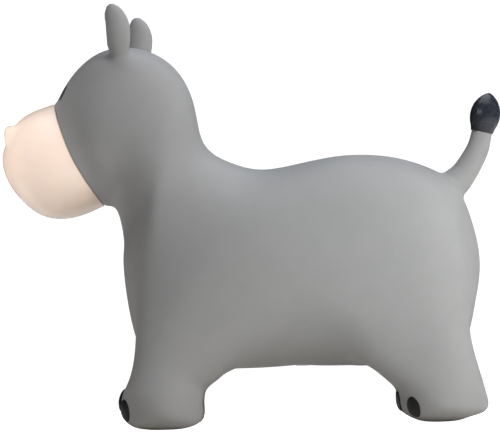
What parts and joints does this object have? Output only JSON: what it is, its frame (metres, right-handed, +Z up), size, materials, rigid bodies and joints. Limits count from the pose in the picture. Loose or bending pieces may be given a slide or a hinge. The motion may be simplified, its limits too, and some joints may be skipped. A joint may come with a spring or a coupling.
{
  "type": "bouncy ride-on animal",
  "caption": "Air-filled soft ride-on bouncer shaped as a donkey: a saddle dip for the rider, ears as hand grips, a curled tail with a dark tuft, and a plugged air valve in the belly.",
  "frame": {"origin": "on the floor, under the middle of the whole toy", "axes": "-X towards the nose, -Y to the donkey's left, +Z up"},
  "size_m": [0.5622, 0.2306, 0.4768],
  "materials": {
    "grey_pvc": "satin-matt soft PVC, grey",
    "cream_pvc": "satin soft PVC, warm cream",
    "nail_black": "semi-gloss black",
    "tuft_black": "glossy blue-black",
    "valve_white": "natural white"
  },
  "bodies": {
    "donkey": {"body_skin": "grey_pvc", "muzzle_skin": "cream_pvc", "ear_left": "grey_pvc", "ear_right": "grey_pvc", "tail": "grey_pvc", "tail_tip": "tuft_black", "eye_left": "nail_black", "eye_right": "nail_black", "nail_front_left_outer": "nail_black", "nail_front_left_inner": "nail_black", "nail_front_right_outer": "nail_black", "nail_front_right_inner": "nail_black", "nail_hind_left_outer": "nail_black", "nail_hind_left_inner": "nail_black", "nail_hind_right_outer": "nail_black", "nail_hind_right_inner": "nail_black", "valve_seat": "valve_white"},
    "plug": {"valve_plug": "valve_white"}
  },
  "joints": [
    {"name": "valve_plug_slide", "type": "slide", "parent": "donkey", "child": "plug", "axis": [0, 0, -1], "range_m": [0, 0.022]}
  ]
}
